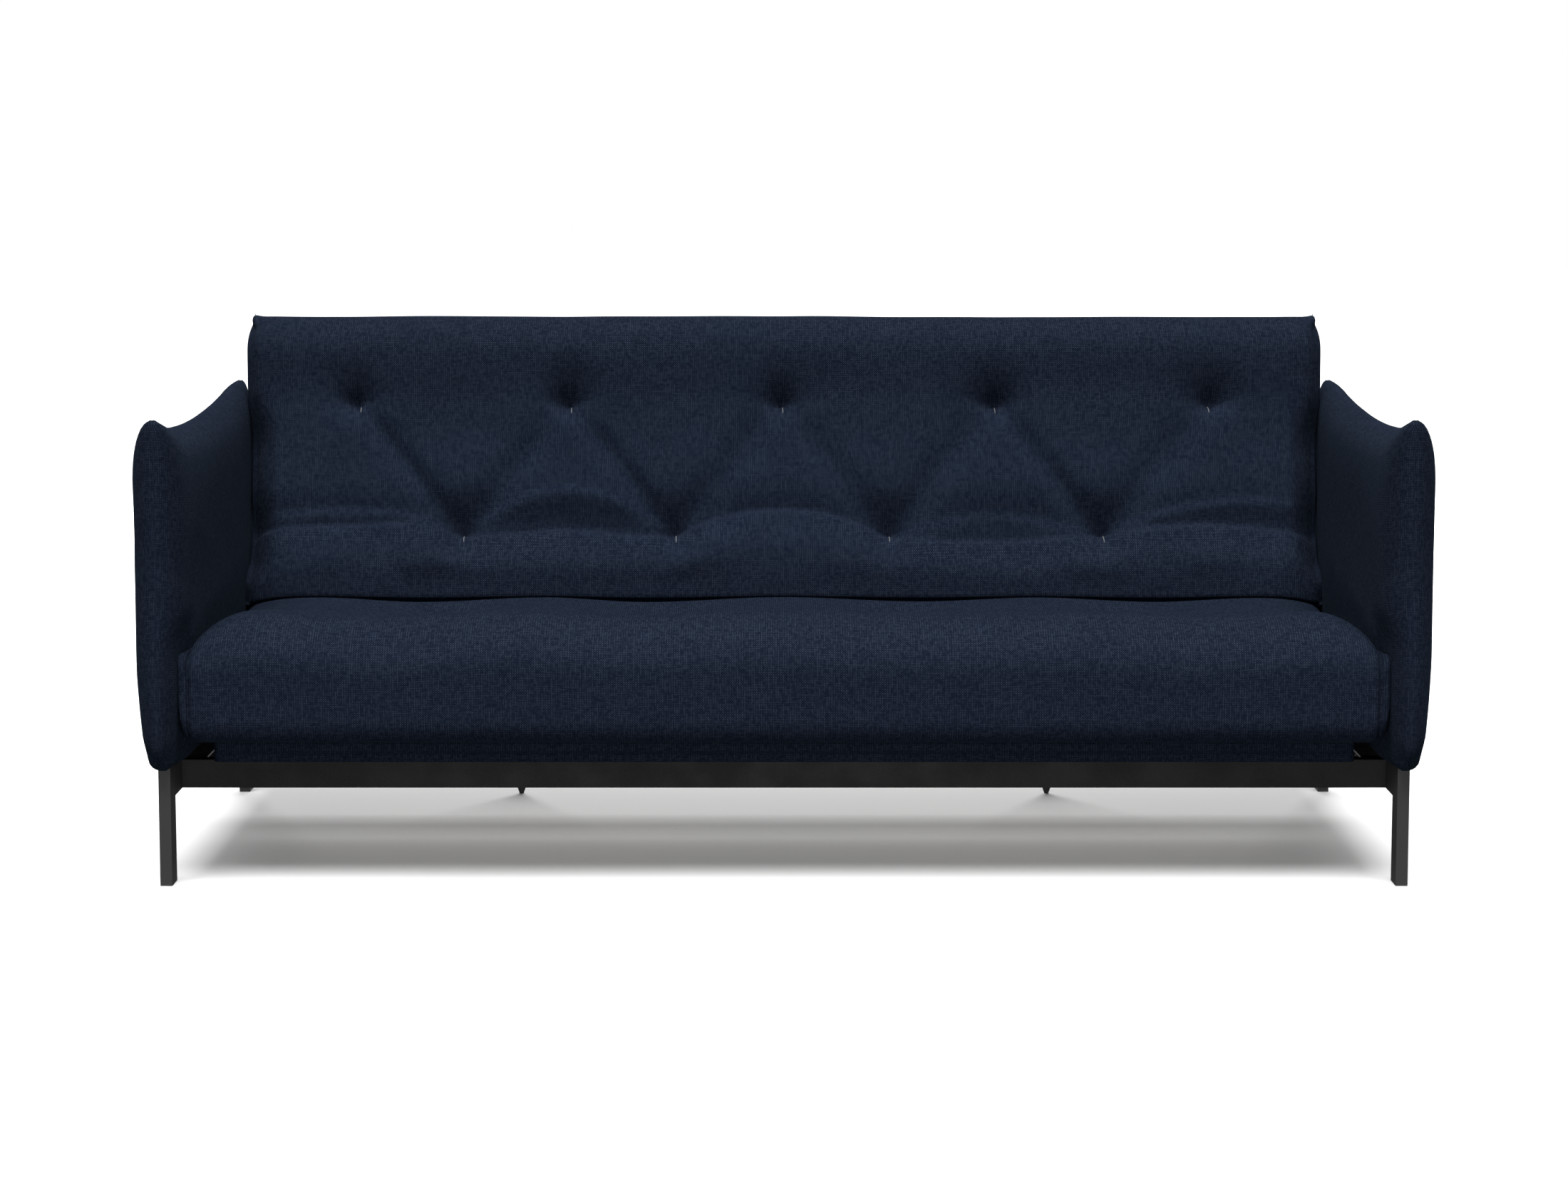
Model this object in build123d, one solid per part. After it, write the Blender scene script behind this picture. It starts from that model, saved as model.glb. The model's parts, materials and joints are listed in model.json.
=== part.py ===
from build123d import *

import os
from math import cos, radians, sin, tan

# Futon sofa bed. Units are mm, +Z up, the front faces -Y, and right (+X) is as seen from the front.
# The origin is on the floor, under the middle of the sofa's bounding box.

# Overall
depth = 1060.0             # arm fronts to the top of the leaning back frame
frame_half_width = 1040.0  # outer faces of the side frames

# Side frames: flat rectangular tube, legs running up inside the padded arms
bar_width = 20.0
leg_depth = 50.0
wall = 2.0
front_leg_y = -470.0       # front face of the front legs
rear_leg_y = 435.0         # front face of the rear legs
foot_height = 4.0
foot_plug_height = 14.0
beam_bottom = 145.0
beam_top = 195.0
post_top = 690.0           # top of the legs, hidden in the arms
arm_bar_height = 30.0

# Cross rails
rail_depth = 30.0
rail_height = 48.0
front_rail_y = -347.0
rear_rail_y = 405.0
rail_plug_length = 12.0
bolt_radius = 4.0
bolt_head_radius = 7.0
bolt_head_height = 4.4
bolt_clearance = 0.2

# Rear support legs, under the rear rail
support_leg_x = 500.0
support_leg_radius = 12.5
support_tip_height = 25.0
support_tip_radius = 4.0

# Padded arms
arm_front = -depth / 2
arm_rear = 495.0
arm_inner_x = 990.0
arm_seam_x = 1030.0
arm_outer_x = 1078.0
arm_bottom = 200.0
arm_ear_z = 775.0
arm_sag = 35.0
arm_bottom_radius = 60.0
arm_ear_radius = 12.0
arm_taper = 12.0
board_thickness = 16.0

# Slide channels and rollers
channel_width = 35.0
channel_bottom = 150.0
channel_height = 40.0
channel_wall = 3.0
channel_front = -315.0
channel_rear = 395.0
roller_radius = 16.0
roller_width = 14.0
roller_lift = 0.3          # running gap under each roller
roller_y = {"front": -50.0, "rear": 275.0}
axle_radius = 4.0
axle_head_radius = 6.0
axle_head_height = 1.7
axle_end_gap = 1.0         # from the axle's head to the channel's web
roller_side_gap = 0.3
roller_rounding = 1.5
bore_clearance = 0.05
bracket_thickness = 4.0
bracket_drop = 12.0        # below the axles
bracket_front_margin = 20.0
bracket_rear_margin = 5.0
bracket_top_margin = 2.0
screw_head_radius = 3.5
screw_head_height = 2.2
screw_rise = 5.0           # above the inside of the lower flange
screw_inset = 40.0
screw_count = 4

# Seat and back frames: square tube under sprung slats
tube = 25.0
frame_tube_bottom = 205.0
seat_frame_half_width = 960.0
seat_frame_front = -380.0
seat_frame_rear = 310.0
trim_thickness = 15.0
trim_bottom = 196.0
trim_top = 231.0
glide_gap = 0.4
pad_inset = 2.0

# Hinge between the seat and the back
lean = 14.4                # degrees behind upright
hinge_z = 233.0
back_frame_length = 600.0  # hinge axis to the frame's top edge
back_frame_start = 40.0
tube_drop = hinge_z - frame_tube_bottom
hinge_y = depth / 2 - back_frame_length * sin(radians(lean)) - tube_drop * cos(radians(lean))
plate_thickness = 6.0
plate_gap = 0.4
pin_radius = 6.0
pin_head_radius = 10.0
pin_head_height = 6.0
pin_clip_radius = 9.0
pin_clip_height = 3.2
bush_radius = 8.0
seat_plate_x = seat_frame_half_width - tube - plate_thickness
back_plate_x = seat_plate_x + plate_thickness + plate_gap
back_tube_x = back_plate_x + plate_thickness

# Ratchet: a notched hub on each back plate and a pawl on each seat plate
hub_radius = 20.0
notch_depth = 5.0
notch_width = 8.0
pawl_angle = 200.0         # where the pawl meets the hub, seen with +Y right and +Z up
pawl_pivot = (-11.0, -34.0)
pawl_pin_radius = 2.5
pawl_pin_head_radius = 4.5
pawl_pin_head_height = 2.0
pawl_boss_radius = 7.0
pawl_reach = 29.0
pawl_tip_radius = 21.2
pawl_width = 6.0
tooth_width = 4.0
fold_angle = 90.0 - lean
back_stops = (0.0, fold_angle / 2, fold_angle)  # sofa, lounger, bed

# Hinge plate outlines, Y and Z from the hinge axis; the back plate's is for the back lying flat
seat_plate_eye_radius = 14.0
seat_plate_outline = (
    (-150.0, -tube_drop), (-60.0, -tube_drop), (-25.0, -42.0), (-11.0, -44.0), (1.0, -38.0),
    (13.0, -6.0), (11.0, 10.0), (-10.0, 11.0), (-22.0, tube - tube_drop), (-150.0, tube - tube_drop),
)
back_plate_outline = (
    (6.0, -tube_drop), (150.0, -tube_drop), (150.0, tube - tube_drop), (10.0, 14.0),
)

# Slats
slat_count = 13
slat_pitch = 145.0
slat_width = 55.0
slat_thickness = 8.0
slat_bottom = 237.0
holder_width = 63.0
holder_length = 34.0
holder_top = 247.5
slat_end_inset = 6.0

# Mattress
mattress_half_width = 988.0
mattress_front = -480.0
mattress_under = 248.0
seat_thickness = 160.0
back_thickness = 150.0
back_length = 655.0
fold_gap = 1.3
hinge_relief = 23.0
mattress_edge_radius = 45.0

cut_margin = 1.0           # how far a cutting shape runs past the faces it cuts

nodes = {}


def block(x0, x1, y0, y1, z0, z1):
    """A box between two corners."""
    centre = Pos((x0 + x1) / 2, (y0 + y1) / 2, (z0 + z1) / 2)
    return centre * Box(x1 - x0, y1 - y0, z1 - z0)


def box_tube(x0, x1, y0, y1, z0, z1, along):
    """A rectangular tube, open at both ends, running along X, Y or Z."""
    inset = {axis: 0.0 if axis == along else wall for axis in "XYZ"}
    core = block(
        x0 + inset["X"], x1 - inset["X"],
        y0 + inset["Y"], y1 - inset["Y"],
        z0 + inset["Z"], z1 - inset["Z"],
    )
    return block(x0, x1, y0, y1, z0, z1) - core


def rod(radius, x0, x1, y, z):
    """A round bar along X."""
    return Pos((x0 + x1) / 2, y, z) * Rot(0, 90, 0) * Cylinder(radius, x1 - x0)


def plate(outline, x0, x1):
    """A flat plate across X from a sketch whose axes are Y and Z."""
    return Pos(x0, 0, 0) * extrude(Plane.YZ * outline, x1 - x0)


def both_sides(name, right_part):
    """One node on each side of the sofa, mirrored about its middle."""
    nodes[name + "_right"] = [right_part]
    nodes[name + "_left"] = [mirror(right_part, about=Plane.YZ)]


def mirrored_group(name, right_parts):
    """One node holding the same small pieces on both sides."""
    nodes[name] = right_parts + [mirror(part, about=Plane.YZ) for part in right_parts]


def at_hinge(part):
    """Moves a part made about the hinge axis into place."""
    return Pos(0, hinge_y, hinge_z) * part


def upright(part):
    """Turns a part of the back from lying flat, about the hinge axis, to its leaning place."""
    return at_hinge(Rot(fold_angle, 0, 0) * part)


def side_frames():
    inner = frame_half_width - bar_width
    front_rear = front_leg_y + leg_depth
    for end, y0 in (("front", front_leg_y), ("rear", rear_leg_y)):
        leg = box_tube(inner, frame_half_width, y0, y0 + leg_depth, foot_height, post_top, "Z")
        both_sides(end + "_leg", leg)
    beam = box_tube(inner, frame_half_width, front_rear, rear_leg_y, beam_bottom, beam_top, "Y")
    for y, z in rail_bolt_places():
        beam -= rod(
            bolt_radius + bolt_clearance, inner - cut_margin, frame_half_width + cut_margin, y, z
        )
    both_sides("side_beam", beam)
    bar_bottom = post_top - arm_bar_height
    bar = box_tube(inner, frame_half_width, front_rear, rear_leg_y, bar_bottom, post_top, "Y")
    both_sides("arm_top_bar", bar)
    middle = frame_half_width - bar_width / 2
    board = block(
        middle - board_thickness / 2, middle + board_thickness / 2,
        front_rear, rear_leg_y, beam_top, bar_bottom,
    )
    both_sides("arm_board", board)


def leg_feet():
    inner = frame_half_width - bar_width
    feet = []
    for y0 in (front_leg_y, rear_leg_y):
        cap = block(inner, frame_half_width, y0, y0 + leg_depth, 0, foot_height)
        plug = block(
            inner + wall, frame_half_width - wall,
            y0 + wall, y0 + leg_depth - wall, foot_height, foot_height + foot_plug_height,
        )
        feet.append(cap + plug)
    mirrored_group("leg_feet", feet)


def rail_bolt_places():
    """Y and Z of the bolts that hold each cross rail to the side beams."""
    rail_middles = (front_rail_y + rail_depth / 2, rear_rail_y + rail_depth / 2)
    heights = (beam_bottom + rail_height / 4, beam_bottom + rail_height * 3 / 4)
    return [(y, z) for y in rail_middles for z in heights]


def cross_rails():
    end = frame_half_width - bar_width
    top = beam_bottom + rail_height
    plugs = []
    for name, y0 in (("front_rail", front_rail_y), ("rear_rail", rear_rail_y)):
        nodes[name] = [box_tube(-end, end, y0, y0 + rail_depth, beam_bottom, top, "X")]
        plug = block(
            end - rail_plug_length, end, y0 + wall, y0 + rail_depth - wall,
            beam_bottom + wall, top - wall,
        )
        for y, z in rail_bolt_places():
            plug -= rod(
                bolt_radius, end - rail_plug_length - cut_margin, end + cut_margin, y, z
            )
        plugs.append(plug)
    mirrored_group("rail_end_plugs", plugs)
    bolts = []
    for y, z in rail_bolt_places():
        shank = rod(bolt_radius, end - rail_plug_length, frame_half_width, y, z)
        head = rod(
            bolt_head_radius, frame_half_width, frame_half_width + bolt_head_height, y, z
        )
        bolts.append(shank + head)
    mirrored_group("rail_bolts", bolts)


def support_legs():
    y = rear_rail_y + rail_depth / 2
    leg_length = beam_bottom - support_tip_height
    leg = Pos(support_leg_x, y, support_tip_height + leg_length / 2) * (
        Cylinder(support_leg_radius, leg_length)
    )
    both_sides("rear_support_leg", leg)
    tip = Pos(support_leg_x, y, support_tip_height / 2) * (
        Cone(support_tip_radius, support_leg_radius, support_tip_height)
    )
    mirrored_group("support_leg_tips", [tip])


def arm_outline():
    """Side view of an arm: square shouldered, with its top edge sagging between two ears."""
    middle = (arm_front + arm_rear) / 2
    with BuildSketch() as sketch:
        with BuildLine():
            Line((arm_front, arm_ear_z), (arm_front, arm_bottom))
            Line((arm_front, arm_bottom), (arm_rear, arm_bottom))
            Line((arm_rear, arm_bottom), (arm_rear, arm_ear_z))
            ThreePointArc(
                (arm_rear, arm_ear_z), (middle, arm_ear_z - arm_sag), (arm_front, arm_ear_z)
            )
        make_face()
        corners = sketch.vertices()
        lower = corners.filter_by_position(Axis.Y, 0, arm_bottom + cut_margin)
        fillet(lower, arm_bottom_radius)
        ears = sketch.vertices().filter_by_position(
            Axis.Y, arm_ear_z - cut_margin, arm_ear_z + cut_margin
        )
        fillet(ears, arm_ear_radius)
    return sketch.sketch


def arm_pads():
    """Foam and cover on each side of the arm's seam, with a pocket that fits over the frame."""
    pocket = block(
        frame_half_width - bar_width, frame_half_width,
        front_leg_y, rear_leg_y + leg_depth, 0, post_top,
    )
    outline = Pos(arm_seam_x, 0, 0) * (Plane.YZ * arm_outline())
    outer = extrude(outline, arm_outer_x - arm_seam_x, taper=arm_taper) - pocket
    inner = extrude(outline, arm_inner_x - arm_seam_x, taper=arm_taper) - pocket
    both_sides("arm_pad_outer", outer)
    both_sides("arm_pad_inner", inner)


def slide_channels():
    """C-section channels, open towards the middle, screwed inside the side beams."""
    outer = frame_half_width - bar_width
    top = channel_bottom + channel_height
    inner = outer - channel_width
    channel = block(inner, outer, channel_front, channel_rear, channel_bottom, top)
    channel -= block(
        inner - cut_margin, outer - channel_wall,
        channel_front - cut_margin, channel_rear + cut_margin,
        channel_bottom + channel_wall, top - channel_wall,
    )
    both_sides("slide_channel", channel)
    web = outer - channel_wall
    screw_z = channel_bottom + channel_wall + screw_rise
    screw_step = (channel_rear - channel_front - 2 * screw_inset) / (screw_count - 1)
    screws = []
    for i in range(screw_count):
        y = channel_front + screw_inset + i * screw_step
        screws.append(rod(screw_head_radius, web - screw_head_height, web, y, screw_z))
    mirrored_group("channel_screws", screws)


def rail_pads():
    """Nylon glides under the seat frame and rubber buffers under the lowered back."""
    rail_top = beam_bottom + rail_height
    pad_top = frame_tube_bottom - glide_gap
    y0, y1 = front_rail_y + pad_inset, front_rail_y + rail_depth - pad_inset
    outer = seat_frame_half_width - pad_inset
    half_pad = tube / 2 - pad_inset
    side = block(outer - 2 * half_pad, outer, y0, y1, rail_top, pad_top)
    middle = block(-half_pad, half_pad, y0, y1, rail_top, pad_top)
    mirrored_group("front_rail_glides", [side])
    nodes["front_rail_glides"].append(middle)
    buffer = block(
        back_tube_x + pad_inset, back_tube_x + tube - pad_inset,
        rear_rail_y + pad_inset, rear_rail_y + rail_depth - pad_inset, rail_top, pad_top,
    )
    mirrored_group("rear_rail_buffers", [buffer])


def seat_frame():
    z0, z1 = frame_tube_bottom, frame_tube_bottom + tube
    outer, inner = seat_frame_half_width, seat_frame_half_width - tube
    behind_front = seat_frame_front + tube
    rear_start = seat_frame_rear - tube
    side = box_tube(inner, outer, behind_front, seat_frame_rear, z0, z1, "Y")
    both_sides("seat_side_tube", side)
    nodes["seat_front_tube"] = [
        box_tube(-outer, outer, seat_frame_front, behind_front, z0, z1, "X")
    ]
    rear_end = seat_plate_x
    nodes["seat_rear_tube"] = [
        box_tube(-rear_end, rear_end, rear_start, seat_frame_rear, z0, z1, "X")
    ]
    nodes["seat_centre_tube"] = [
        box_tube(-tube / 2, tube / 2, behind_front, rear_start, z0, z1, "Y")
    ]
    trim = block(
        -outer, outer, seat_frame_front - trim_thickness, seat_frame_front, trim_bottom, trim_top
    )
    front_corners = trim.edges().filter_by(Axis.Z).group_by(Axis.Y)[0]
    nodes["seat_front_trim"] = [fillet(front_corners, trim_thickness - 2)]


def rollers():
    """Rollers on stub axles, one bracket plate each side of the seat frame."""
    web = frame_half_width - bar_width - channel_wall
    axle_end = web - axle_end_gap
    head_start = axle_end - axle_head_height
    roller_outer = head_start - roller_side_gap
    roller_inner = roller_outer - roller_width
    z = channel_bottom + channel_wall + roller_radius + roller_lift
    bracket_x = seat_frame_half_width
    bracket_outer = bracket_x + bracket_thickness
    bracket = block(
        bracket_x, bracket_outer,
        roller_y["front"] - bracket_front_margin, seat_frame_rear - bracket_rear_margin,
        z - bracket_drop, frame_tube_bottom + tube - bracket_top_margin,
    )
    axles = []
    for end, y in roller_y.items():
        bracket -= rod(
            axle_radius, bracket_x - cut_margin, bracket_outer + cut_margin, y, z
        )
        axle = rod(axle_radius, bracket_x, head_start, y, z)
        axles.append(axle + rod(axle_head_radius, head_start, axle_end, y, z))
        wheel = rod(roller_radius, roller_inner, roller_outer, y, z)
        wheel = fillet(wheel.edges(), roller_rounding)
        wheel -= rod(
            axle_radius + bore_clearance, roller_inner - cut_margin, roller_outer + cut_margin, y, z
        )
        both_sides(end + "_roller", wheel)
    both_sides("roller_bracket", bracket)
    mirrored_group("roller_axles", axles)


def slats(frame_start, frame_end):
    """Slats and their end holders, spaced across a frame between two tubes, lying flat."""
    made_slats, made_holders = [], []
    slat_ends = (frame_start + slat_end_inset, frame_end - slat_end_inset)
    tube_top = frame_tube_bottom + tube
    for i in range(slat_count):
        x = (i - (slat_count - 1) / 2) * slat_pitch
        slat = block(
            x - slat_width / 2, x + slat_width / 2, *slat_ends,
            slat_bottom, slat_bottom + slat_thickness,
        )
        made_slats.append(slat)
        for y0 in (frame_start, frame_end - holder_length):
            holder = block(
                x - holder_width / 2, x + holder_width / 2, y0, y0 + holder_length,
                tube_top, holder_top,
            )
            made_holders.append(holder - slat)
    return made_slats, made_holders


def seat_slats():
    nodes["seat_slats"], nodes["seat_slat_holders"] = slats(seat_frame_front, seat_frame_rear)


def flat_about_hinge(part):
    """Moves a part from its height above the floor to its height above the hinge axis."""
    return Pos(0, 0, -hinge_z) * part


def back_frame():
    z0, z1 = -tube_drop, tube - tube_drop
    outer, inner = back_tube_x + tube, back_tube_x
    start, end = back_frame_start, back_frame_length
    side = box_tube(inner, outer, start, end, z0, z1, "Y")
    both_sides("back_side_tube", upright(side))
    cross_tubes = (
        ("back_bottom_tube", start, back_plate_x),
        ("back_top_tube", end - tube, inner),
    )
    for name, y0, half_width in cross_tubes:
        tube_along = box_tube(-half_width, half_width, y0, y0 + tube, z0, z1, "X")
        nodes[name] = [upright(tube_along)]
    centre = box_tube(-tube / 2, tube / 2, start + tube, end - tube, z0, z1, "Y")
    nodes["back_centre_tube"] = [upright(centre)]


def back_slats():
    flat_slats, flat_holders = slats(back_frame_start, back_frame_length)
    nodes["back_slats"] = [upright(flat_about_hinge(slat)) for slat in flat_slats]
    nodes["back_slat_holders"] = [upright(flat_about_hinge(part)) for part in flat_holders]


def seat_hinge_plate():
    """Plate inside each seat side tube that carries the hinge pin and the pawl's pin."""
    outline = Polygon(*seat_plate_outline, align=None)
    outline += Circle(seat_plate_eye_radius)
    outline -= Circle(pin_radius)
    outline -= Pos(*pawl_pivot) * Circle(pawl_pin_radius)
    both_sides(
        "seat_hinge_plate",
        at_hinge(plate(outline, seat_plate_x, seat_plate_x + plate_thickness)),
    )


def back_hinge_plate():
    """Plate inside each back side tube, with a hub notched for the pawl at each stop."""
    outline = Circle(hub_radius)
    outline += Polygon(*back_plate_outline, align=None)
    for stop in back_stops:
        angle = pawl_angle - fold_angle + stop
        notch = Pos(hub_radius, 0) * Rectangle(2 * notch_depth, notch_width)
        outline -= Rot(0, 0, angle) * notch
    outline -= Circle(bush_radius)
    both_sides(
        "back_hinge_plate",
        upright(plate(outline, back_plate_x, back_plate_x + plate_thickness)),
    )
    bush = rod(bush_radius, back_plate_x, back_plate_x + plate_thickness, 0, 0)
    bush -= rod(
        pin_radius + bore_clearance, back_plate_x - cut_margin, back_tube_x + cut_margin, 0, 0
    )
    mirrored_group("hinge_bushes", [upright(bush)])


def hinge_pins():
    pin_end = back_tube_x + plate_gap
    pin = rod(pin_radius, seat_plate_x, pin_end, 0, 0)
    pin += rod(pin_head_radius, seat_plate_x - pin_head_height, seat_plate_x, 0, 0)
    pin += rod(pin_clip_radius, pin_end, pin_end + pin_clip_height, 0, 0)
    mirrored_group("hinge_pins", [at_hinge(pin)])


def pawls():
    """Spring-loaded levers whose tooth drops into the hub's notches, shown lifted clear."""
    pivot_y, pivot_z = pawl_pivot
    direction = radians(pawl_angle)
    reach_y, reach_z = pawl_reach * cos(direction), pawl_reach * sin(direction)
    lever = Line((pivot_y, pivot_z), (reach_y, reach_z))
    outline = Sketch() + trace(lever, pawl_width)
    outline += Pos(pivot_y, pivot_z) * Circle(pawl_boss_radius)
    outline += Pos(reach_y, reach_z) * Circle(pawl_width / 2)
    tooth_length = pawl_reach - pawl_tip_radius
    tooth = Pos(pawl_tip_radius + tooth_length / 2, 0) * Rectangle(tooth_length, tooth_width)
    outline += Rot(0, 0, pawl_angle) * tooth
    outline -= Pos(pivot_y, pivot_z) * Circle(pawl_pin_radius + bore_clearance)
    both_sides("pawl", at_hinge(plate(outline, back_plate_x, back_plate_x + plate_thickness)))
    pin_end = back_tube_x + plate_gap
    pin = rod(pawl_pin_radius, seat_plate_x, pin_end, pivot_y, pivot_z)
    pin += rod(pawl_pin_head_radius, pin_end, pin_end + pawl_pin_head_height, pivot_y, pivot_z)
    mirrored_group("pawl_pins", [at_hinge(pin)])


def mattress():
    """The two halves of the folded mattress, meeting on the plane that halves the fold."""
    under = mattress_under - hinge_z
    half_fold = tan(radians((90 + lean) / 2))
    seat_top, back_top = under + seat_thickness, under + back_thickness
    front = mattress_front - hinge_y
    relief = Circle(hinge_relief)
    seat = Polygon(
        (front, under), (-under / half_fold - fold_gap, under),
        (-seat_top / half_fold - fold_gap, seat_top), (front, seat_top), align=None,
    )
    seat = fillet(seat.vertices().group_by(Axis.X)[0], mattress_edge_radius) - relief
    back = Polygon(
        (under / half_fold + fold_gap, under), (back_length, under),
        (back_length, back_top), (back_top / half_fold + fold_gap, back_top), align=None,
    )
    back = fillet(back.vertices().group_by(Axis.X)[-1], back_thickness / 2 - 1) - relief
    seat_solid = plate(seat, -mattress_half_width, mattress_half_width)
    back_solid = plate(back, -mattress_half_width, mattress_half_width)
    nodes["mattress_seat"] = [at_hinge(seat_solid)]
    nodes["mattress_back"] = [upright(back_solid)]


side_frames()
leg_feet()
cross_rails()
support_legs()
arm_pads()
slide_channels()
rail_pads()
seat_frame()
rollers()
seat_slats()
back_frame()
back_slats()
seat_hinge_plate()
back_hinge_plate()
hinge_pins()
pawls()
mattress()

os.makedirs("parts", exist_ok=True)
for name, pieces in nodes.items():
    solids = [solid for piece in pieces for solid in piece.solids()]
    shape = solids[0] if len(solids) == 1 else Compound(children=solids)
    shape.label = name
    export_step(shape, f"parts/{name}.step")
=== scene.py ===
import json
from math import atan, cos, pi, radians, sin, tan

import bmesh
import bpy
import numpy as np
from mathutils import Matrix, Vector


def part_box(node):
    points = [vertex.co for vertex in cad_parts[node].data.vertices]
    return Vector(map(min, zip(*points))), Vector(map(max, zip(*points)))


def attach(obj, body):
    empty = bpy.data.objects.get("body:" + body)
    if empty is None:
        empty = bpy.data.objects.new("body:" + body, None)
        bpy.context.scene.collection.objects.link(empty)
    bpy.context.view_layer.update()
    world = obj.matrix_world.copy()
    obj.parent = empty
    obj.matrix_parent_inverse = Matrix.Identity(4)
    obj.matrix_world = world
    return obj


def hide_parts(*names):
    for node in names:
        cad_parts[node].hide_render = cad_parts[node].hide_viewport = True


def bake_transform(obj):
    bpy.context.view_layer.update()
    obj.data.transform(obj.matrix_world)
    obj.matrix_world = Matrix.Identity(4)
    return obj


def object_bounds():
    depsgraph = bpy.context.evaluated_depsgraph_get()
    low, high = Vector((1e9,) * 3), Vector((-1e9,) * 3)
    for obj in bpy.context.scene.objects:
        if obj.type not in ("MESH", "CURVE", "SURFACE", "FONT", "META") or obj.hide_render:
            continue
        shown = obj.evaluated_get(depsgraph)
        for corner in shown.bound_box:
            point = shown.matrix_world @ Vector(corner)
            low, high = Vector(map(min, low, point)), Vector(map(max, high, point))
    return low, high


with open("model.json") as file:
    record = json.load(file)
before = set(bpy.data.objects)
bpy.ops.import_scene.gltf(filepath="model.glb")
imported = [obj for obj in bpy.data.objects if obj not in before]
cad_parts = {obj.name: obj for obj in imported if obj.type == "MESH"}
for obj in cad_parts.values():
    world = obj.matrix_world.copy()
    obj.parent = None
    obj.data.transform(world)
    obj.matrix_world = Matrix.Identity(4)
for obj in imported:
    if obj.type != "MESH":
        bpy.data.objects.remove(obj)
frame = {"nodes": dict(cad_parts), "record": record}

# Futon sofa bed. Metres, +Z up, the front faces -Y, and right (+X) is as seen from the front.

cad_low, cad_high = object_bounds()

# Places taken from the frame
joints = {joint["name"]: joint for joint in frame["record"]["behaviour"]["joints"]}
axis_y, axis_z = joints["back_fold"]["pos_m"][1:]
fold = radians(joints["back_fold"]["range_deg"][1])
seat_low = Vector(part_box("mattress_seat")[0])
trim_low, trim_high = (Vector(corner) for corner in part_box("seat_front_trim"))

# Mattress, described as it lies flat: x along it, y from the fold (seat negative, back
# positive), and heights above the hinge's plane
under_height = seat_low.z - axis_z
seat_reach = axis_y - seat_low.y
back_reach = 0.671
mattress_half = 0.986          # between the arms
front_flare = 0.015            # the free corners stand wider than that
top_flare = 0.009
seat_lip, back_lip = 0.166, 0.189      # heights at the two sides of the fold
lip_drop = 0.022               # of both, at the ends
crown_height = 0.211           # of the seat's front
end_drop = 0.100               # of that crown, at the ends
end_reach = 0.10               # in from the ends over which both drop, as a share of the half length
back_height = 0.150
back_end_drop = 0.030
fold_band = 0.0045             # half the width of the fold's groove
corner_fillet = 0.040          # of the underside, where it folds
front_round = (0.110, 0.085)   # the seat's front top edge, along y and z
corner_tight = 0.62            # share by which that round shrinks at the ends
under_round = 0.036            # the seat's front lower edge
overhang_droop = 0.009         # of the underside in front of the seat frame
top_round = (0.075, 0.070)     # the back's top front edge
rear_round = 0.050             # the back's top rear edge
tuft_pitch = 0.40
sewn_aside = -0.006            # the tufts sit a little to the left of the middle
upper_row, lower_row = 0.498, 0.246
seat_rows = (-0.258, -0.510)
row_spacing = 0.0085           # of its mesh
end_rows = 18                  # of its mesh, over the back's top and down the seat's front
ear_length = 0.007             # of the back's pinched top corners
corner_lift = 0.020            # rounding of the front's lower corners
gusset_in = 0.013              # from the end of the mattress to the seam round it, as such a share
arm_valley = 0.040             # by which the back's face falls away beside the arms
# Tufts: depth and reach of the pit where the cloth is pulled in, then of the dimple round it
seat_tuft = (0.022, 0.022, 0.010, 0.075)
upper_tuft = (0.030, 0.012, 0.017, 0.046)
lower_tuft = (0.024, 0.012, 0.010, 0.046)
# Creases between them: depth and width
sharp_crease, soft_crease = (0.017, 0.021), (0.014, 0.030)
stitch_length, stitch_radius = 0.016, 0.0006

# Arms
arm_seam_x = 1.030
arm_outer_x = cad_high.x
arm_inner_x = 0.986
arm_ear_z = 0.785
arm_ear_round = 0.014
arm_bottom_round = 0.060
arm_thin_in = 0.35             # share of its inner side that the seat's corner presses in
arm_hollow = 0.30              # and by which it thins beside the back
arm_fill_in = 0.105            # distances in which it fills out, from the front and rear seam
arm_fill_down = 0.095          # and from the top one
# Top edge of an arm: distance behind its front, and how far it sags below the ears
arm_top_line = (
    (0.0, 0.0), (0.055, -0.010), (0.14, -0.024), (0.26, -0.031), (0.41, -0.033), (0.55, -0.030),
    (0.67, -0.025), (0.81, -0.0165), (0.91, -0.008), (0.975, -0.001), (1.025, 0.0),
)


def smooth(low, high, value):
    """0 at low, 1 at high, and an even curve between."""
    t = np.clip((value - low) / (high - low), 0, 1)
    return t * t * (3 - 2 * t)


def dome(distance, reach):
    """A round shoulder: 0 at the edge, 1 from reach inwards."""
    return np.sqrt(1 - (1 - np.clip(distance / reach, 0, 1)) ** 2)


def bell(distance, reach):
    """1 at no distance, falling away evenly on both sides."""
    return np.exp(-((distance / reach) ** 2))


def ripple(x, y, size, seed):
    """Smooth repeatable noise, about -1 to 1, with lumps about size across."""
    rng = np.random.default_rng(seed)
    total = np.zeros(np.broadcast(x, y).shape)
    for _ in range(9):
        angle, phase = rng.uniform(0, pi), rng.uniform(0, 2 * pi)
        wave = pi / (size * rng.uniform(0.7, 1.8))
        total += np.sin(wave * (x * cos(angle) + y * sin(angle)) + phase)
    return total / 4.5


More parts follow.
